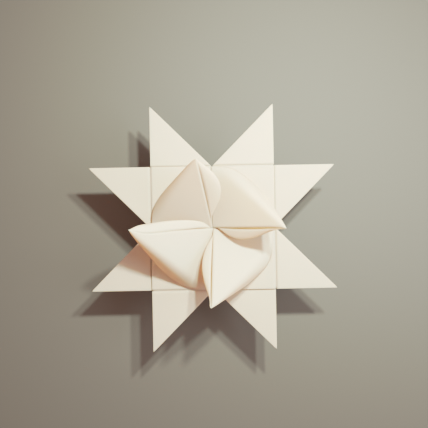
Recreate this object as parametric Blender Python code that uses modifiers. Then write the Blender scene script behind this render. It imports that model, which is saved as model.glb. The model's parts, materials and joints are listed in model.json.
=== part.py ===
"""Woven paper star: four folded strips make a square weave, eight flat points and eight cones.

X and Y run along the woven square's sides and Z is up. The star stands on the tips of its lower cones,
with the origin on that surface, under the centre of the square.
Every strip is the same ribbon turned by a quarter turn. A ribbon is worked out from its middle, where it
crosses the centre of the weave, out to its front end. The back end is the front one turned over about X.
"""

import math

import bpy
from mathutils import Matrix, Vector

COLLECTION = "origami_star"
PAPER_COLOUR = (0.83, 0.80, 0.73, 1.0)
PAPER_ROUGHNESS = 0.85

# Sizes in metres
STRIP_WIDTH = 0.0243
PAPER = 0.00015
LAYER_GAP = 0.00015
CREASE_RADIUS = 0.00015
CONE_HEIGHT = 0.0215
SHOULDER_REACH = 0.0078
SHOULDER_HEIGHT = 0.0146
MOUTH_LEAN = 0.0038
SEAM_GAP = 0.0006
TIP_RADIUS = 0.0004
WALL_BULGE = 0.0085

# How far each front cone's tip reaches out from the centre, and how far it leans over its own mouth
FRONT_CONES = {
    "strip_right_column": (0.0270, -0.0014),
    "strip_top_row": (0.0253, -0.0004),
    "strip_left_column": (0.0247, 0.0048),
    "strip_bottom_row": (0.0290, -0.0016),
}
BACK_CONE = (0.0262, 0.0)

# The open edge of a cone from its shoulder to the slot: shares of the half square back and out from the
# shoulder, and shares of the shoulder's height
MOUTH_ROUTE = [
    (0.0, 0.0, 1.0),
    (0.09, 0.23, 1.10),
    (0.21, 0.42, 0.88),
    (0.34, 0.49, 0.42),
    (0.42, 0.38, 0.0),
    (0.22, 0.08, 0.0),
]
TOUCH_DOWN = 4

# The closed wall below a cone's seam: the height of its fullest line as a share of the seam's, how far its
# foot runs in under the cone as a share of the half square, and how quickly it fills out along the seam
WALL_CREST = 0.9
WALL_FOOT = 0.08
WALL_FILL = 0.6

# Sizes that follow from them
PITCH = PAPER + LAYER_GAP
INNER = 2 * PITCH
OUTER = INNER + STRIP_WIDTH
WALL = OUTER + PITCH
SQRT2 = math.sqrt(2)

# Layers of the weave, counted in pitches from its middle
TOP, TAIL, TUCK, FACE, CORE = 4.5, 3.5, 2.5, 1.5, 0.5

CREASE_STEPS = 3
RISE_STEPS = 3
SIDE_STEPS = 5
MOUTH_STEPS = 18
BACK_STEPS = 8
CROSS_STEPS = 8
SOFTENING = 1
FAN_START = 0.04
TIP_TURN = 0.25


def level(layers):
    return layers * PITCH


def across(y, z):
    """A straight line across the strip, from its centre side to its outer side."""
    return [Vector((INNER, y, z)), Vector((OUTER, y, z))]


def corner(centre, radius, start, end):
    """Points of an arc in the plane of travel and height, angles in degrees."""
    points = []
    for step in range(CREASE_STEPS + 1):
        angle = math.radians(start + (end - start) * step / CREASE_STEPS)
        points.append((centre[0] + radius * math.cos(angle), centre[1] + radius * math.sin(angle)))
    return points


def crease_up(wall, low, high):
    """A fold round a wall that lies ahead of travel, from a low layer up to a high one."""
    radius = CREASE_RADIUS
    first = corner((wall - radius, low + radius), radius, -90, 0)
    return first + corner((wall - radius, high - radius), radius, 0, 90)


def riser(wall, start, end):
    """A step in travel from one layer to another, upright at the wall."""
    turn = 1 if end > start else -1
    radius = CREASE_RADIUS
    first = corner((wall - radius, start + turn * radius), radius, -90 * turn, 0)
    return first + corner((wall + radius, end - turn * radius), radius, 180, 180 - 90 * turn)


def diagonal_crease(high, low, shift, arriving):
    """The 45 degree fold along a flat point's long side, from the column to the point's own direction."""
    radius = (high - low) / 2
    middle = (high + low) / 2
    start = shift / SQRT2 - radius
    lines = []
    for step in range(2 * CREASE_STEPS + 1):
        angle = math.pi * step / (2 * CREASE_STEPS)
        normal = start + radius * math.sin(angle)
        line = []
        for edge in (INNER, OUTER):
            along = start + SQRT2 * edge + radius * angle
            x, y = (along - normal) / SQRT2, (along + normal) / SQRT2
            height = middle + radius * math.cos(angle) * (1 if arriving else -1)
            line.append(Vector((x, y, height)))
        lines.append(line)
    return lines if arriving else lines[::-1]


def weave_lines():
    """The ribbon from the centre of the weave to the top of its face pass, ready for the flat point."""
    lines = [across(0, 0), across(-PITCH, level(-CORE))]
    lines += [across(-y, z) for y, z in crease_up(WALL, level(-CORE), level(TOP))]
    lines += [across(y, z) for y, z in riser(-PITCH, level(TOP), level(FACE))]
    return lines


def flat_point_lines():
    """The flat point: out on the face layer, across behind, round the outer side and back in front."""
    shift = WALL + PITCH - INNER
    out = diagonal_crease(level(FACE), level(CORE), shift, True)
    inner_y = out[-1][0].y
    outer_y = out[-1][1].y
    turn = []
    for x, z in crease_up(WALL, level(CORE), level(TOP)):
        turn.append([Vector((x, inner_y, z)), Vector((x, outer_y, z))])
    back = diagonal_crease(level(TOP), level(TAIL), shift, False)
    return out + turn + back


def smooth_curve(points, amount):
    """A point on the smooth curve through the given points, at amount from 0 to 1."""
    spans = len(points) - 1
    place = min(max(amount, 0.0), 1.0) * spans
    index = min(int(place), spans - 1)
    t = place - index
    before = points[index - 1] if index else points[0] * 2 - points[1]
    after = points[index + 2] if index + 2 <= spans else points[-1] * 2 - points[-2]
    a, b = points[index], points[index + 1]
    return 0.5 * (2 * a + (b - before) * t + (2 * before - 5 * a + 4 * b - after) * t ** 2
                  + (3 * a - before - 3 * b + after) * t ** 3)


def bezier(a, b, c, d, t):
    s = 1 - t
    return s ** 3 * a + 3 * s * s * t * b + 3 * s * t * t * c + t ** 3 * d


def mouth_curve(floor):
    """The open edge of a cone, from its shoulder round the mouth and back along the weave to the slot."""
    points = []
    for back, out, rise in MOUTH_ROUTE:
        height = max(rise * SHOULDER_HEIGHT, floor)
        points.append(Vector((OUTER - MOUTH_LEAN - back * WALL, -SHOULDER_REACH - out * WALL, height)))
    return points + [Vector((OUTER, -2 * CREASE_RADIUS, floor))]


def shares(steps):
    """Even shares of a stretch, without its first end."""
    return [step / steps for step in range(1, steps + 1)]


def cone_lines(cone):
    """The cone: up out of the slot, round the tip and back under itself into the same slot.

    The paper is bent along straight lines, in three fans: up from the slot about the star's centre, across to
    the tip about the shoulder, and round the mouth about the tip. A full, closed wall brings it back.
    """
    reach, lean = cone
    floor, roof = level(TOP + 1), level(TOP + 2)
    start, slot_start = across(PITCH, roof)
    end = Vector((INNER, -2 * CREASE_RADIUS, floor))
    tip = Vector((INNER + lean, -reach, CONE_HEIGHT))
    mouth = mouth_curve(floor)
    touch_down = TOUCH_DOWN / (len(mouth) - 1)
    axis = (mouth[2].lerp(mouth[5], 0.5) - tip).normalized()

    def tip_edge(target, side):
        """The rounded tip, where the straight line to a point of the mouth begins."""
        return tip + TIP_RADIUS * ((target - tip).normalized() - axis) + Vector((side * SEAM_GAP / 2, 0, 0))

    first_tip = tip_edge(start, 1)
    ahead = start.lerp(first_tip, FAN_START)
    shoulder, past_shoulder = mouth[0], smooth_curve(mouth, FAN_START)
    pairs = [(start, slot_start)]
    pairs += [(start.lerp(ahead, t), slot_start.lerp(shoulder, t)) for t in shares(RISE_STEPS)]
    pairs += [(ahead.lerp(first_tip, t), shoulder.lerp(past_shoulder, t)) for t in shares(SIDE_STEPS)]
    for t in shares(MOUTH_STEPS):
        target = smooth_curve(mouth, FAN_START + (touch_down - FAN_START) * t)
        target.z = max(target.z, floor)
        pairs.append((first_tip.lerp(tip_edge(target, 1 - 2 * t), min(1, t / TIP_TURN)), target))
    lines = [[inner.lerp(outer, t / CROSS_STEPS) for t in range(CROSS_STEPS + 1)] for inner, outer in pairs]
    tip_end = pairs[-1][0]
    for t in shares(BACK_STEPS):
        inner = tip_end.lerp(end, t)
        outer = smooth_curve(mouth, touch_down + (1 - touch_down) * t)
        outer.z = floor
        fullness = math.sin(math.pi * t) ** WALL_FILL
        wall = Vector((inner.x - WALL_BULGE, inner.y, floor + WALL_CREST * (inner.z - floor)))
        foot = Vector((inner.x + WALL_FOOT * WALL, (inner.y + outer.y) / 2, floor))
        first = inner.lerp(outer, 1 / 3).lerp(wall, fullness)
        second = inner.lerp(outer, 2 / 3).lerp(foot, fullness)
        lines.append([bezier(inner, first, second, outer, k / CROSS_STEPS) for k in range(CROSS_STEPS + 1)])
    return softened(lines)


def softened(lines):
    """The same surface with its creases rounded. The slot lines stay where they are."""
    for _ in range(SOFTENING):
        rounder = [line[:] for line in lines]
        for i in range(1, len(lines) - 1):
            for k in range(len(lines[i])):
                along = (lines[i - 1][k] + lines[i + 1][k]) / 2
                if 0 < k < len(lines[i]) - 1:
                    along = (along + (lines[i][k - 1] + lines[i][k + 1]) / 2) / 2
                rounder[i][k] = lines[i][k].lerp(along, 0.5)
        lines = rounder
    return lines


def half_lines(cone):
    """All the lines across one half of a strip, from the centre of the weave to the trimmed end."""
    lines = weave_lines() + flat_point_lines()
    up = riser(-PITCH, level(TAIL), level(TOP + 2))[:CREASE_STEPS + 1]
    lines += [across(-y, z) for y, z in up]
    lines += cone_lines(cone)
    lines += [across(y, z) for y, z in riser(0, level(TOP + 1), level(TUCK))]
    trim = WALL + PITCH - INNER - 2 * PITCH * SQRT2
    lines.append([Vector((x, x + trim, level(TUCK))) for x in (INNER, OUTER)])
    return lines


def strip_mesh(name, front_cone):
    front = half_lines(front_cone)
    turn_over = Matrix.Rotation(math.pi, 3, "X")
    back = [[turn_over @ point for point in line] for line in half_lines(BACK_CONE)[1:]]
    lines = back[::-1] + front
    points, faces, starts = [], [], []
    for line in lines:
        starts.append(len(points))
        points += line
    for i, a in enumerate(starts[:-1]):
        b = starts[i + 1]
        count_a, count_b = len(lines[i]), len(lines[i + 1])
        if count_a == count_b:
            faces += [(a + k, a + k + 1, b + k + 1, b + k) for k in range(count_a - 1)]
        else:
            faces.append(tuple(range(a, a + count_a)) + tuple(reversed(range(b, b + count_b))))
    mesh = bpy.data.meshes.new(name)
    mesh.from_pydata(points, [], faces)
    mesh.validate()
    return mesh


def paper_material(name):
    material = bpy.data.materials.new(name)
    material.use_nodes = True
    shader = material.node_tree.nodes["Principled BSDF"]
    shader.inputs["Base Color"].default_value = PAPER_COLOUR
    shader.inputs["Roughness"].default_value = PAPER_ROUGHNESS
    shader.inputs["Metallic"].default_value = 0.0
    return material


def stand_on_lower_cones(strips):
    """Lifts the star, so that the tips of its lower cones touch the surface at height zero."""
    bpy.context.view_layer.update()
    graph = bpy.context.evaluated_depsgraph_get()
    lowest = min(vertex.co.z for strip in strips for vertex in strip.evaluated_get(graph).data.vertices)
    for strip in strips:
        strip.location.z = -lowest


def main():
    for item in list(bpy.data.objects):
        bpy.data.objects.remove(item)
    collection = bpy.data.collections.new(COLLECTION)
    bpy.context.scene.collection.children.link(collection)
    strips = []
    for turn, (name, front_cone) in enumerate(FRONT_CONES.items()):
        strip = bpy.data.objects.new(name, strip_mesh(name, front_cone))
        strip.rotation_euler = (0, 0, math.radians(90 * turn))
        strip.data.materials.append(paper_material(name + "_paper"))
        solid = strip.modifiers.new("paper", "SOLIDIFY")
        solid.thickness = PAPER
        solid.offset = 0
        collection.objects.link(strip)
        strips.append(strip)
    stand_on_lower_cones(strips)


main()
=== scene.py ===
"""The looks of a woven paper star: four white paper strips, folded, on a plain pale floor.

Each strip is one long grid of paper, worked out from the middle of the weave to its two ends. Its front half
makes a flat point and a cone on the front, and its back half, turned over about X, the same on the back.
"""

import json
import math

import bpy
import numpy as np
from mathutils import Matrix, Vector


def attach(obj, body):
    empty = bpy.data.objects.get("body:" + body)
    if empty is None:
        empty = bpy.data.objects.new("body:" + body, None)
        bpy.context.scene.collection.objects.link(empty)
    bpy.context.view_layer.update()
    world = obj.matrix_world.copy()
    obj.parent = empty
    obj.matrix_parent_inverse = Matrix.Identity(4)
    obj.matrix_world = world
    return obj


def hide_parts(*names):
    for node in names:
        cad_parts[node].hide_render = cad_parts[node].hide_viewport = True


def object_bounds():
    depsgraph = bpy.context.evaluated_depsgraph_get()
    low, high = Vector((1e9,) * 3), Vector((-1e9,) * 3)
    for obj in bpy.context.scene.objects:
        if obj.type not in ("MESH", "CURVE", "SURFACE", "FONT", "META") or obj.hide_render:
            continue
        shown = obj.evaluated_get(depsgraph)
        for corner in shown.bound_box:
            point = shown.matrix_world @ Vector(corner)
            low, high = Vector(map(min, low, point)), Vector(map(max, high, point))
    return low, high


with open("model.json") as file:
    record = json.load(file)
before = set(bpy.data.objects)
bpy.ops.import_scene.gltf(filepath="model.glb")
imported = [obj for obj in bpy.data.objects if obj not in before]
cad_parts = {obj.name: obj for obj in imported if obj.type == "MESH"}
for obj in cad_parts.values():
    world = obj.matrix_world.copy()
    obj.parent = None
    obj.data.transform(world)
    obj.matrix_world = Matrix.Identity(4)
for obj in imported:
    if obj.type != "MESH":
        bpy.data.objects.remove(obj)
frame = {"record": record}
cad_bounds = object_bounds()

# The strips, in metres
STRIP_WIDTH = 0.0245
PAPER = 0.00012
PITCH = 0.0002
CREASE_RADIUS = 0.0001
INNER = 2 * PITCH
OUTER = INNER + STRIP_WIDTH
WALL = OUTER + PITCH
SQRT2 = math.sqrt(2)

# Heights of a strip's passes over the middle of the weave, in layers of PITCH
TOP, TAIL, TUCK, FACE, CORE = 4.5, 3.5, 2.5, 1.5, 0.5

# What all cones share, in metres: their height, the tip's radius and how far they start from the centre.
# As shares of the way along the seam or round the mouth: where the fan starts, and the stretches over which
# the lines across turn about the tip and the seam closes behind it
CONE_HEIGHT = 0.02178
TIP_RADIUS = 0.0004
CENTRE_GAP = 0.0001
FAN_START = 0.04
TIP_TURN = 0.25
SEAM_CLOSING = 0.12

# How the seam's swing grows from the centre, the share before the tip over which it fades, how the paper's
# bend widens from the tip to the mouth, how many spreads the bend reaches, and the mouth's point that the
# tip's rounding faces
SWING_GROWTH = 1.4
SWING_FADE = 0.2
BEND_GROWTH = 0.7
BELL_REACH = 3
AXIS_POINT = 3

# The open edge of a cone, from the slot's outer end along the weave, round the mouth and back under itself to
# the slot: places in metres beside the strip's centre side, out from the slot and above the weave
MOUTH_ROUTE = [
    (0.0246, -0.0010, 0.0002),
    (0.0245, -0.0060, 0.0008),
    (0.0230, -0.0113, 0.0010),
    (0.0201, -0.0164, 0.0013),
    (0.0158, -0.0205, 0.0038),
    (0.0108, -0.0233, 0.0080),
    (0.0076, -0.0236, 0.0068),
    (0.0075, -0.0212, 0.0026),
    (0.0098, -0.0180, 0.0),
    (0.0170, -0.0090, 0.0),
]

# The route's point from which the open edge lies on the weave
TOUCH_DOWN = 8

# How much of a cone's drop and trim each of the route's first points takes, and how far a dropped shoulder
# comes in as a share of its drop
DROP_SHARES = (1, 1, 0.7, 0.3)
TRIM_SHARES = (0, 0.1, 0.5, 1, 1, 0.7, 0.4)
DROP_INWARD = 0.25

# The closed wall below a cone's seam: the height of its fullest line as a share of the seam's, and how far
# its foot runs in under the cone as a share of the half square
WALL_CREST = 0.9
WALL_FOOT = 0.08

# How finely the paper is divided
CREASE_STEPS = 4
CROSS_STEPS = 28
RISE_STEPS = 12
SIDE_STEPS = 26
MOUTH_STEPS = 60
BACK_STEPS = 40
FLAT_STEP = 0.0011
CONE_STEPS = 190

# The cones, one on each strip's front and one kind for the back. Lengths are in metres:
# reach, how far the tip stands out, lean, how far it stands beside the centre, and swing, how far the seam
# swings out before it; drop and trim, how far the shoulder drops towards the tip and the mouth is drawn in;
# gap and lens, how wide the seam is at the tip and between its ends, and skew, how near the centre the lens
# is (1 is halfway); bulge, how far the closed wall stands past the seam, early, how near the tip it is
# fullest (under 1), and even, how suddenly it fills (0 is at once); tip and mouth, how softly the paper
# bends there
STRIPS = {
    "right_column": dict(
        reach=0.0275, lean=-0.0014, swing=0.0, drop=0.0045, trim=0.0005,
        gap=0.0004, lens=0.0003, skew=1,
        bulge=0.0095, early=1, even=0.6,
        tip=0.0005, mouth=0.0022),
    "top_row": dict(
        reach=0.0259, lean=-0.0001, swing=0.0004, drop=0.0, trim=0.0020,
        gap=0.0002, lens=0.0006, skew=0.9,
        bulge=0.0108, early=1.2, even=0.6,
        tip=0.0005, mouth=0.0022),
    "left_column": dict(
        reach=0.0259, lean=0.0052, swing=0.0, drop=0.0, trim=0.0016,
        gap=0.0, lens=0.0002, skew=6,
        bulge=0.0127, early=0.75, even=0.8,
        tip=0.0015, mouth=0.0022),
    "bottom_row": dict(
        reach=0.0306, lean=-0.0013, swing=0.0027, drop=0.0, trim=0.0,
        gap=0.0, lens=0.0004, skew=5,
        bulge=0.0105, early=1, even=0.22,
        tip=0.0015, mouth=0.0022),
}
BACK_CONE = dict(
    reach=0.0262, lean=0.0, swing=0.0, drop=0.0, trim=0.0010,
    gap=0.0004, lens=0.0003, skew=1,
    bulge=0.0090, early=1, even=0.6,
    tip=0.0006, mouth=0.0024)


def level(layers):
    return layers * PITCH


def point(x, y, z):
    return np.array((x, y, z), float)


def blend(a, b, share):
    return a * (1 - share) + b * share


def shares(steps):
    """Even shares of a stretch, without its first end."""
    return [step / steps for step in range(1, steps + 1)]


def across(y, z):
    """The two ends of a straight line across the strip, from its centre side to its outer side."""
    return point(INNER, y, z), point(OUTER, y, z)


def corner(centre, radius, start, end):
    """Points of an arc in the plane of travel and height, angles in degrees."""
    angles = np.radians(np.linspace(start, end, CREASE_STEPS + 1))
    return [(centre[0] + radius * math.cos(a), centre[1] + radius * math.sin(a)) for a in angles]


def crease_up(wall, low, high):
    """A fold round a wall that lies ahead of travel, from a low layer up to a high one."""
    radius = CREASE_RADIUS
    first = corner((wall - radius, low + radius), radius, -90, 0)
    return first + corner((wall - radius, high - radius), radius, 0, 90)


def riser(wall, start, end):
    """A step in travel from one layer to another, upright at the wall."""
    turn = 1 if end > start else -1
    radius = CREASE_RADIUS
    first = corner((wall - radius, start + turn * radius), radius, -90 * turn, 0)
    return first + corner((wall + radius, end - turn * radius), radius, 180, 180 - 90 * turn)


def diagonal_crease(high, low, shift, arriving):
    """The 45 degree fold along a flat point's long side, between the column and the point's own direction."""
    radius = (high - low) / 2
    start = shift / SQRT2 - radius
    pairs = []
    for angle in np.linspace(0, math.pi, 2 * CREASE_STEPS + 1):
        normal = start + radius * math.sin(angle)
        height = (high + low) / 2 + radius * math.cos(angle) * (1 if arriving else -1)
        ends = []
        for edge in (INNER, OUTER):
            along = start + SQRT2 * edge + radius * angle
            ends.append(point((along - normal) / SQRT2, (along + normal) / SQRT2, height))
        pairs.append(tuple(ends))
    return pairs if arriving else pairs[::-1]


def weave_pairs():
    """The strip from the centre of the weave up to its face pass."""
    pairs = [across(0, 0), across(-PITCH, level(-CORE))]
    pairs += [across(-y, z) for y, z in crease_up(WALL, level(-CORE), level(TOP))]
    pairs += [across(y, z) for y, z in riser(-PITCH, level(TOP), level(FACE))]
    return pairs


def flat_point_pairs():
    """The flat point: out on the face layer, across behind, round the outer side and back in front."""
    shift = WALL + PITCH - INNER
    out = diagonal_crease(level(FACE), level(CORE), shift, True)
    inner_y, outer_y = out[-1][0][1], out[-1][1][1]
    turn = [(point(x, inner_y, z), point(x, outer_y, z)) for x, z in crease_up(WALL, level(CORE), level(TOP))]
    return out + turn + diagonal_crease(level(TOP), level(TAIL), shift, False)


def smooth_curve(points, amount):
    """A point on the smooth curve through the given points, at amount from 0 to 1."""
    spans = len(points) - 1
    place = min(max(amount, 0.0), 1.0) * spans
    index = min(int(place), spans - 1)
    t = place - index
    before = points[index - 1] if index else points[0] * 2 - points[1]
    after = points[index + 2] if index + 2 <= spans else points[-1] * 2 - points[-2]
    a, b = points[index], points[index + 1]
    return 0.5 * (2 * a + (b - before) * t + (2 * before - 5 * a + 4 * b - after) * t ** 2
                  + (3 * a - before - 3 * b + after) * t ** 3)


def bezier(a, b, c, d, t):
    s = 1 - t
    return s ** 3 * a + 3 * s * s * t * b + 3 * s * t * t * c + t ** 3 * d


def mouth_curve(drop, trim, floor):
    """A cone's open edge: the mouth route with its shoulder dropped and its fullest stretch drawn in."""
    points = [point(INNER + beside, out, floor + rise) for beside, out, rise in MOUTH_ROUTE]
    for place, share in zip(points, DROP_SHARES):
        place -= point(drop * share * DROP_INWARD, drop * share, 0)
    for place, share in zip(points, TRIM_SHARES):
        place += point(-trim * share / SQRT2, trim * share / SQRT2, 0)
    return points + [point(OUTER, -2 * CREASE_RADIUS, floor)]


def straight(inner, outer):
    """A straight line of points across the paper."""
    steps = np.linspace(0, 1, CROSS_STEPS + 1)[:, None]
    return inner * (1 - steps) + outer * steps


def cone_lines(cone):
    """The cone: up out of the slot, round the tip and back under itself into the same slot."""
    floor, roof = level(TOP + 1), level(TOP + 2)
    start, slot_start = point(CENTRE_GAP, CENTRE_GAP, roof), point(OUTER, PITCH, roof)
    end = point(CENTRE_GAP, -CENTRE_GAP, floor)
    tip = point(INNER + cone["lean"], -cone["reach"], CONE_HEIGHT)
    mouth = mouth_curve(cone["drop"], cone["trim"], floor)
    touch_down = TOUCH_DOWN / (len(mouth) - 1)
    axis = unit(blend(mouth[AXIS_POINT], mouth[-2], 0.5) - tip)

    def tip_edge(target, side):
        """The rounded tip, where the straight line to a point of the mouth begins."""
        return tip + TIP_RADIUS * (unit(target - tip) - axis) + point(side * cone["gap"] / 2, 0, 0)

    first_tip = tip_edge(start, 1)
    ahead = blend(start, first_tip, FAN_START)
    shoulder, past_shoulder = mouth[0], smooth_curve(mouth, FAN_START)
    lines = [straight(start, slot_start)]
    for t in shares(RISE_STEPS):
        lines.append(straight(blend(start, ahead, t), blend(slot_start, shoulder, t)))
    for t in shares(SIDE_STEPS):
        inner = blend(ahead, first_tip, t) + swing(cone, blend(FAN_START, 1, t))
        lines.append(straight(inner, blend(shoulder, past_shoulder, t)))
    for t in shares(MOUTH_STEPS):
        target = smooth_curve(mouth, FAN_START + (touch_down - FAN_START) * t)
        target[2] = max(target[2], floor)
        tip_end = blend(first_tip, tip_edge(target, 1 - 2 * t), min(1, t / TIP_TURN))
        lines.append(straight(tip_end, target))
    steps = np.linspace(0, 1, CROSS_STEPS + 1)[:, None]
    for t in shares(BACK_STEPS):
        opening = cone["gap"] * (1 - t) + cone["lens"] * math.sin(math.pi * t ** cone["skew"])
        rounding = (tip_end - first_tip) * max(0, 1 - t / SEAM_CLOSING) ** 2
        inner = blend(first_tip, end, t) + rounding + swing(cone, 1 - t) - point(opening, 0, 0)
        outer = smooth_curve(mouth, touch_down + (1 - touch_down) * t)
        outer[2] = floor
        fullness = math.sin(math.pi * t ** cone["early"]) ** cone["even"]
        side = min(inner[0], INNER)
        wall = point(side - cone["bulge"], inner[1], floor + WALL_CREST * (inner[2] - floor))
        foot = point(side + WALL_FOOT * WALL, (inner[1] + outer[1]) / 2, floor)
        first = blend(blend(inner, outer, 1 / 3), wall, fullness)
        second = blend(blend(inner, outer, 2 / 3), foot, fullness)
        lines.append(bezier(inner, first, second, outer, steps))
    return softened(np.array(lines), cone, floor)


def swing(cone, share):
    """How far the seam swings towards the mouth, at a share of the way from the centre to the tip."""
    fade = min(1, (1 - share) / SWING_FADE)
    return point(cone["swing"] * share ** SWING_GROWTH * fade, 0, 0)


def unit(vector):
    return vector / np.linalg.norm(vector)


def softened(grid, cone, floor):
    """The same surface, evenly divided along the paper and with its creases rounded. Its ends stay."""
    columns = []
    for k, share in enumerate(np.linspace(0, 1, grid.shape[1])):
        path = grid[:, k]
        length = np.concatenate(((0,), np.cumsum(np.linalg.norm(np.diff(path, axis=0), axis=1))))
        places = np.linspace(0, length[-1], CONE_STEPS)
        even = np.stack([np.interp(places, length, path[:, axis]) for axis in range(3)], axis=1)
        spread = blend(cone["tip"], cone["mouth"], share ** BEND_GROWTH) / places[1]
        reach = math.ceil(BELL_REACH * spread)
        weights = np.exp(-0.5 * (np.arange(-reach, reach + 1) / spread) ** 2)
        before = 2 * even[0] - even[reach:0:-1]
        after = 2 * even[-1] - even[-2:-reach - 2:-1]
        padded = np.concatenate((before, even, after))
        columns.append(np.stack(
            [np.convolve(padded[:, axis], weights / weights.sum(), "valid") for axis in range(3)], axis=1))
    grid = np.stack(columns, axis=1)
    grid[..., 2] = np.maximum(grid[..., 2], floor)
    return list(grid)


def half_lines(cone):
    """All the lines across one half of a strip, from the centre of the weave to the trimmed end."""
    pairs = weave_pairs() + flat_point_pairs()
    pairs += [across(-y, z) for y, z in riser(-PITCH, level(TAIL), level(TOP + 2))[:CREASE_STEPS + 1]]
    lines = [straight(*pair) for pair in pairs] + cone_lines(cone)
    trim = WALL + PITCH - INNER - 2 * PITCH * SQRT2
    ends = [across(y, z) for y, z in riser(0, level(TOP + 1), level(TUCK))]
    ends.append(tuple(point(x, x + trim, level(TUCK)) for x in (INNER, OUTER)))
    return lines + [straight(*pair) for pair in ends]


def evenly_divided(lines):
    """The same lines, with more between any two that lie far apart."""
    dense = [lines[0]]
    for line in lines[1:]:
        gap = np.linalg.norm(line - dense[-1], axis=1).max()
        count = max(1, math.ceil(gap / FLAT_STEP))
        last = dense[-1]
        dense += [blend(last, line, t) for t in shares(count)]
    return dense


def strip_mesh(name, front_cone, turn, middle):
    """One strip as a grid of quads, turned into its place. UV runs along and across the paper."""
    turn_over = np.array((1, -1, -1))
    front = half_lines(front_cone)
    back = [line * turn_over for line in half_lines(BACK_CONE)[1:]]
    grid = np.array(evenly_divided(back[::-1] + front))
    cosine, sine = round(math.cos(turn)), round(math.sin(turn))
    spin = np.array(((cosine, -sine, 0), (sine, cosine, 0), (0, 0, 1)), float)
    grid = grid @ spin.T + point(0, 0, middle)
    rows, columns = grid.shape[:2]
    faces = [
        (i * columns + k, i * columns + k + 1, (i + 1) * columns + k + 1, (i + 1) * columns + k)
        for i in range(rows - 1) for k in range(columns - 1)]
    mesh = bpy.data.meshes.new(name)
    mesh.from_pydata(grid.reshape(-1, 3).tolist(), [], faces)
    steps = np.linalg.norm(np.diff(grid, axis=0), axis=2).mean(axis=1)
    length = np.concatenate(((0,), np.cumsum(steps)))
    uv = mesh.uv_layers.new(name="paper")
    for loop in mesh.loops:
        i, k = divmod(loop.vertex_index, columns)
        uv.data[loop.index].uv = (length[i], STRIP_WIDTH * k / (columns - 1))
    mesh.shade_smooth()
    return mesh


# The paper: its two close tones, the colour and share of the light that it lets through, the noise that
# mixes the tones and the noise that makes the fibres, and the fibres' bump
PAPER_TONES = (0.80, 0.90, 0.87, 1), (0.83, 0.93, 0.90, 1)
GLOW = (1.0, 0.72, 0.52, 1)
GLOW_SHARE = 0.62
CLOUD_SCALE, CLOUD_DETAIL = 90, 3
FIBRE_SCALE, FIBRE_DETAIL = 2600, 4
FIBRE_STRENGTH, FIBRE_HEIGHT = 0.12, 0.0001
PAPER_ROUGHNESS, PAPER_SPECULAR = 0.72, 0.25


def noise(nodes, scale, detail):
    node = nodes.new("ShaderNodeTexNoise")
    node.inputs["Scale"].default_value = scale
    node.inputs["Detail"].default_value = detail
    return node


def paper_material():
    """White paper: matt, faintly fibrous, and letting light through that comes out warmer."""
    material = bpy.data.materials.new("white_paper")
    material.use_nodes = True
    nodes, links = material.node_tree.nodes, material.node_tree.links
    shader = nodes["Principled BSDF"]
    coordinates = nodes.new("ShaderNodeTexCoord")
    fibre = noise(nodes, FIBRE_SCALE, FIBRE_DETAIL)
    cloud = noise(nodes, CLOUD_SCALE, CLOUD_DETAIL)
    tone = nodes.new("ShaderNodeMixRGB")
    tone.inputs["Color1"].default_value, tone.inputs["Color2"].default_value = PAPER_TONES
    bump = nodes.new("ShaderNodeBump")
    bump.inputs["Strength"].default_value = FIBRE_STRENGTH
    bump.inputs["Distance"].default_value = FIBRE_HEIGHT
    glow = nodes.new("ShaderNodeBsdfTranslucent")
    glow.inputs["Color"].default_value = GLOW
    mix = nodes.new("ShaderNodeMixShader")
    mix.inputs["Fac"].default_value = GLOW_SHARE
    links.new(coordinates.outputs["Object"], fibre.inputs["Vector"])
    links.new(coordinates.outputs["Object"], cloud.inputs["Vector"])
    links.new(cloud.outputs["Fac"], tone.inputs["Fac"])
    links.new(tone.outputs["Color"], shader.inputs["Base Color"])
    links.new(fibre.outputs["Fac"], bump.inputs["Height"])
    links.new(bump.outputs["Normal"], shader.inputs["Normal"])
    links.new(shader.outputs["BSDF"], mix.inputs[1])
    links.new(glow.outputs["BSDF"], mix.inputs[2])
    links.new(mix.outputs["Shader"], nodes["Material Output"].inputs["Surface"])
    shader.inputs["Roughness"].default_value = PAPER_ROUGHNESS
    shader.inputs["Specular IOR Level"].default_value = PAPER_SPECULAR
    return material


def add_strips():
    paper = paper_material()
    middle = (cad_bounds[0][2] + cad_bounds[1][2]) / 2
    for index, (side, cone) in enumerate(STRIPS.items()):
        name = "paper_" + side
        mesh = strip_mesh(name, cone, math.radians(90 * index), middle)
        mesh.materials.append(paper)
        strip = bpy.data.objects.new(name, mesh)
        bpy.context.scene.collection.objects.link(strip)
        sheet = strip.modifiers.new("sheet", "SOLIDIFY")
        sheet.thickness = PAPER
        sheet.offset = 0
        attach(strip, "root")
        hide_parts("strip_" + side)


FLOOR_SIZE = 3
FLOOR_COLOUR = (0.130, 0.115, 0.107, 1)
FLOOR_ROUGHNESS = 0.8


def add_floor():
    bpy.ops.mesh.primitive_plane_add(size=FLOOR_SIZE)
    floor = bpy.context.object
    floor.name = "floor"
    material = bpy.data.materials.new("floor")
    material.use_nodes = True
    shader = material.node_tree.nodes["Principled BSDF"]
    shader.inputs["Base Color"].default_value = FLOOR_COLOUR
    shader.inputs["Roughness"].default_value = FLOOR_ROUGHNESS
    floor.data.materials.append(material)


# The lamps: name, place and size in metres, power in watts and colour. They aim at the star's middle at
# AIM_HEIGHT above the floor. The room's light comes from all sides
LAMPS = [
    ("lamp_left", (0.042, 0.087, 0.175), 0.012, 0.245, (0.87, 1.0, 0.82)),
    ("lamp_right", (0.072, 0.087, 0.175), 0.012, 0.245, (0.87, 1.0, 0.82)),
    ("soft_right", (0.240, 0.000, 0.190), 0.20, 0.32, (0.84, 1.0, 0.96)),
]
AIM_HEIGHT = 0.02
ROOM_COLOUR = (1.0, 0.62, 0.47, 1)
ROOM_STRENGTH = 0.27

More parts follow.
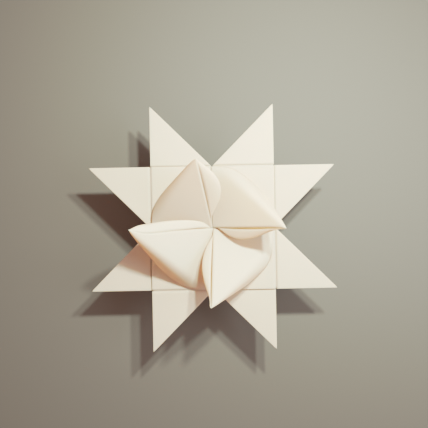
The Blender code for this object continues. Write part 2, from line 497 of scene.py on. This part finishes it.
# How the photograph's tones run from dark to bright, as the light's strength and the strength shown, and the
# view's curve that holds all colours
TONE_CURVE = [
    (0.0, 0.0), (0.05, 0.13), (0.1, 0.24), (0.17, 0.38), (0.26, 0.50), (0.35, 0.58), (0.6, 0.73), (0.8, 0.80),
    (1.0, 0.86)]
ALL_COLOURS = 3


def add_lamp(name, place, size, power, colour):
    lamp = bpy.data.lights.new(name, "AREA")
    lamp.shape = "DISK"
    lamp.size = size
    lamp.energy = power
    lamp.color = colour
    holder = bpy.data.objects.new(name, lamp)
    holder.location = place
    holder.rotation_euler = (Vector(place) - Vector((0, 0, AIM_HEIGHT))).to_track_quat("Z", "Y").to_euler()
    holder.visible_camera = False
    bpy.context.scene.collection.objects.link(holder)


def add_light():
    """Two small lamps above the picture's upper right, a soft light from the right and a dim warm room."""
    for lamp in LAMPS:
        add_lamp(*lamp)
    world = bpy.data.worlds.new("studio")
    world.use_nodes = True
    background = world.node_tree.nodes["Background"]
    background.inputs["Color"].default_value = ROOM_COLOUR
    background.inputs["Strength"].default_value = ROOM_STRENGTH
    bpy.context.scene.world = world


def set_tones():
    """The photograph's tone curve, over the plain Standard view."""
    view = bpy.context.scene.view_settings
    view.view_transform = "Standard"
    view.use_curve_mapping = True
    curve = view.curve_mapping.curves[ALL_COLOURS]
    for strength, shown in TONE_CURVE[1:-1]:
        curve.points.new(strength, shown)
    curve.points[0].location = TONE_CURVE[0]
    curve.points[len(TONE_CURVE) - 1].location = TONE_CURVE[-1]
    view.curve_mapping.update()


# The photograph's frame: its size, the star's centre and turn in it and how large the star shows there, and
# how far the camera is from the star's front face, in metres
FRAME_PIXELS = 428
CENTRE_X, CENTRE_Y = 213, 228
TURN = math.radians(1.1)
TIP_TO_TIP_PIXELS = 247
CAMERA_DISTANCE = 0.151


def add_camera():
    """Straight above the star, with the picture's middle a little up from the star's own."""
    pixel = (cad_bounds[1][0] - cad_bounds[0][0]) / TIP_TO_TIP_PIXELS
    right = Vector((math.cos(TURN), -math.sin(TURN), 0))
    up = Vector((math.sin(TURN), math.cos(TURN), 0))
    face = next(m for m in frame["record"]["mounts"] if m["name"] == "front_face")["pos_m"][2]
    camera = bpy.data.cameras.new("camera")
    camera.angle = 2 * math.atan(FRAME_PIXELS / 2 * pixel / CAMERA_DISTANCE)
    holder = bpy.data.objects.new("camera", camera)
    offset = right * (FRAME_PIXELS / 2 - CENTRE_X) * pixel + up * (CENTRE_Y - FRAME_PIXELS / 2) * pixel
    holder.location = offset + Vector((0, 0, face + CAMERA_DISTANCE))
    holder.rotation_euler = (0, 0, -TURN)
    bpy.context.scene.collection.objects.link(holder)
    bpy.context.scene.camera = holder


add_strips()
add_floor()
add_light()
set_tones()
add_camera()
